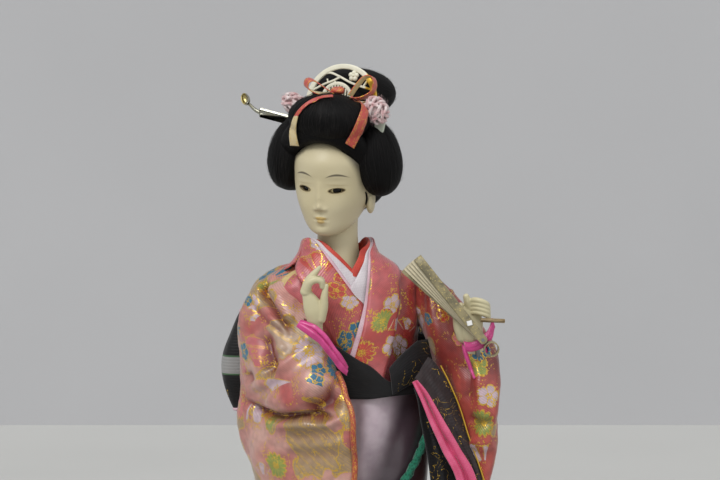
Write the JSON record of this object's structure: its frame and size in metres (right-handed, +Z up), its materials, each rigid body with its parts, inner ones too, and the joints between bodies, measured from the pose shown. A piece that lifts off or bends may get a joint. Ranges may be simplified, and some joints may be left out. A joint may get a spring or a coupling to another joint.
{
  "type": "kimono doll",
  "caption": "Standing kimono doll on a lacquered board, with turned head, combed hair, hairpin, layered collars, obi with back bow, hanging sleeves and a hand-held folding fan.",
  "frame": {"origin": "middle of the display board's underside", "axes": "+Z up; the doll faces -Y and its left hand is towards +X"},
  "size_m": [0.18, 0.15, 0.4208],
  "materials": {
    "black_lacquer": "high-gloss black lacquer",
    "steel_wire": "plain drawn wire",
    "white_sock": "white cotton",
    "straw": "wound straw",
    "skin": "cream satin",
    "cotton": "cotton wadding",
    "red_silk": "soft silk",
    "white_silk": "soft silk",
    "pale_pink_silk": "soft silk",
    "brocade": "satin brocade with gold thread",
    "lavender_satin": "satin",
    "black_brocade": "woven with gold thread",
    "green_crepe": "crinkled crepe",
    "pink_satin": "satin",
    "dark_glass": "polished",
    "silvered_metal": "worn silver plate",
    "ivory_plastic": "ivory gloss",
    "black_hair": "combed silk fibre",
    "pink_wool": "fluffy wool",
    "gold_red_ribbon": "gold-edged ribbon",
    "fan_brocade": "grey-gold brocade over card",
    "fan_paper": "pleated paper",
    "bamboo": "bare bamboo"
  },
  "bodies": {
    "figure": {"display_board": "black_lacquer", "leg_rod_right": "steel_wire", "leg_rod_left": "steel_wire", "spine_rod": "steel_wire", "sock_foot_right": "white_sock", "sock_foot_left": "white_sock", "straw_core_legs": "straw", "straw_core_torso": "straw", "arm_wire_right": "steel_wire", "arm_wire_left": "steel_wire", "hand_right": "skin", "hand_left": "skin", "arm_padding_right": "cotton", "arm_padding_left": "cotton", "collar_red": "red_silk", "collar_white": "white_silk", "collar_piping": "pale_pink_silk", "collar_brocade": "brocade", "kimono_bodice": "brocade", "kimono_skirt": "brocade", "under_skirt": "red_silk", "hem_roll": "red_silk", "obi_satin": "lavender_satin", "obi_wrap_black": "black_brocade", "obi_cord_green": "green_crepe", "bow_loop_right": "black_brocade", "bow_loop_left": "black_brocade", "bow_knot": "black_brocade", "bow_hanging_end": "black_brocade", "sleeve_right": "brocade", "sleeve_left": "brocade", "sleeve_lining_right": "pink_satin", "sleeve_lining_left": "pink_satin", "obi_end_inner": "black_brocade", "obi_end_outer": "black_brocade", "obi_end_facing": "pink_satin", "fan_guard_front": "fan_brocade", "fan_rivet": "steel_wire", "fan_end_roll": "fan_brocade", "fan_peg": "bamboo"},
    "head_and_hair": {"head": "skin", "eye_right": "dark_glass", "eye_left": "dark_glass", "hair_front": "black_hair", "hair_side_right": "black_hair", "hair_side_left": "black_hair", "hair_back": "black_hair", "hair_topknot": "black_hair", "pompon_right": "pink_wool", "pompon_left": "pink_wool", "ribbon_bow": "gold_red_ribbon", "ribbon_tail_right": "gold_red_ribbon", "ribbon_tail_left": "gold_red_ribbon"},
    "hairpin": {"hairpin": "silvered_metal"},
    "comb": {"comb": "ivory_plastic"},
    "fan_leaf_1": {"fan_leaf_1": "fan_paper"},
    "fan_leaf_2": {"fan_leaf_2": "fan_paper"},
    "fan_leaf_3": {"fan_leaf_3": "fan_paper"},
    "fan_leaf_4": {"fan_leaf_4": "fan_paper"},
    "fan_guard_back": {"fan_guard_back": "fan_brocade"}
  },
  "joints": [
    {"name": "head_turn", "type": "hinge", "parent": "figure", "child": "head_and_hair", "pos_m": [-0.0145, -0.003, 0.318], "axis": [0, 0, 1], "range_deg": [-20, 20]},
    {"name": "hairpin_pull", "type": "slide", "parent": "head_and_hair", "child": "hairpin", "axis": [-0.9154, 0.3245, 0.2382], "range_m": [0, 0.018]},
    {"name": "comb_pull", "type": "slide", "parent": "head_and_hair", "child": "comb", "axis": [0.126, 0.1368, 0.9826], "range_m": [0, 0.01]},
    {"name": "fan_spread_1", "type": "hinge", "parent": "figure", "child": "fan_leaf_1", "pos_m": [0.0485, -0.0393, 0.301], "axis": [0, -1, 0], "range_deg": [0, 15]},
    {"name": "fan_spread_2", "type": "hinge", "parent": "fan_leaf_1", "child": "fan_leaf_2", "pos_m": [0.0485, -0.0384, 0.301], "axis": [0, -1, 0], "range_deg": [0, 15]},
    {"name": "fan_spread_3", "type": "hinge", "parent": "fan_leaf_2", "child": "fan_leaf_3", "pos_m": [0.0485, -0.0375, 0.301], "axis": [0, -1, 0], "range_deg": [0, 15]},
    {"name": "fan_spread_4", "type": "hinge", "parent": "fan_leaf_3", "child": "fan_leaf_4", "pos_m": [0.0485, -0.0366, 0.301], "axis": [0, -1, 0], "range_deg": [0, 15]},
    {"name": "fan_spread_5", "type": "hinge", "parent": "fan_leaf_4", "child": "fan_guard_back", "pos_m": [0.0485, -0.0354, 0.301], "axis": [0, -1, 0], "range_deg": [0, 15]}
  ],
  "couplings": [
    {"joint": "fan_spread_2", "follows": "fan_spread_1", "ratio": 1},
    {"joint": "fan_spread_3", "follows": "fan_spread_1", "ratio": 1},
    {"joint": "fan_spread_4", "follows": "fan_spread_1", "ratio": 1},
    {"joint": "fan_spread_5", "follows": "fan_spread_1", "ratio": 1}
  ]
}
